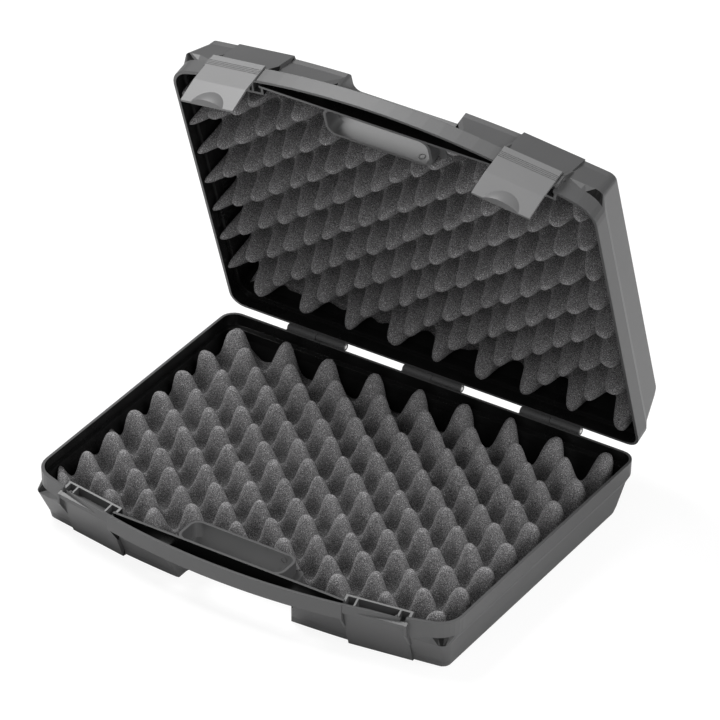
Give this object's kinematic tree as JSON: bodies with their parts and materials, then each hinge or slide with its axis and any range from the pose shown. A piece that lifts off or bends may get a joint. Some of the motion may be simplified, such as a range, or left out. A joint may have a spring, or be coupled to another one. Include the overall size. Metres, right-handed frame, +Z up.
{
  "type": "otoscope carry case",
  "caption": "Hinged moulded plastic carry case with bowed handle bar, snap latches and convoluted foam pads in both shells",
  "frame": {"origin": "middle of the base's underside, on the surface the case stands on", "axes": "+X along the hinge to the right as seen from the front, +Y from the handle to the hinge, +Z up; lid stored open as in the picture"},
  "size_m": [0.4, 0.3592, 0.3574],
  "materials": {
    "shell_plastic": "satin moulded, dark grey-black",
    "foam": "open-cell convoluted foam, charcoal",
    "pin_steel": "drawn wire",
    "latch_plastic": "satin moulded, mid grey"
  },
  "bodies": {
    "base": {"base_shell": "shell_plastic", "base_foam": "foam", "hinge_pin_left": "pin_steel", "hinge_pin_centre": "pin_steel", "hinge_pin_right": "pin_steel"},
    "lid": {"lid_shell": "shell_plastic", "lid_foam": "foam"},
    "latch_left": {"latch_left": "latch_plastic"},
    "latch_right": {"latch_right": "latch_plastic"}
  },
  "joints": [
    {"name": "lid_hinge", "type": "hinge", "parent": "base", "child": "lid", "pos_m": [0, 0.1448, 0.0482], "axis": [1, 0, 0], "range_deg": [-107, 72.8]},
    {"name": "latch_left_pivot", "type": "hinge", "parent": "lid", "child": "latch_left", "pos_m": [-0.13761, 0.06867, 0.33947], "axis": [0.989, -0.0437, 0.1412], "range_deg": [-100, 0]},
    {"name": "latch_right_pivot", "type": "hinge", "parent": "lid", "child": "latch_right", "pos_m": [0.13761, 0.06867, 0.33947], "axis": [0.989, 0.0437, -0.1412], "range_deg": [-100, 0]}
  ]
}
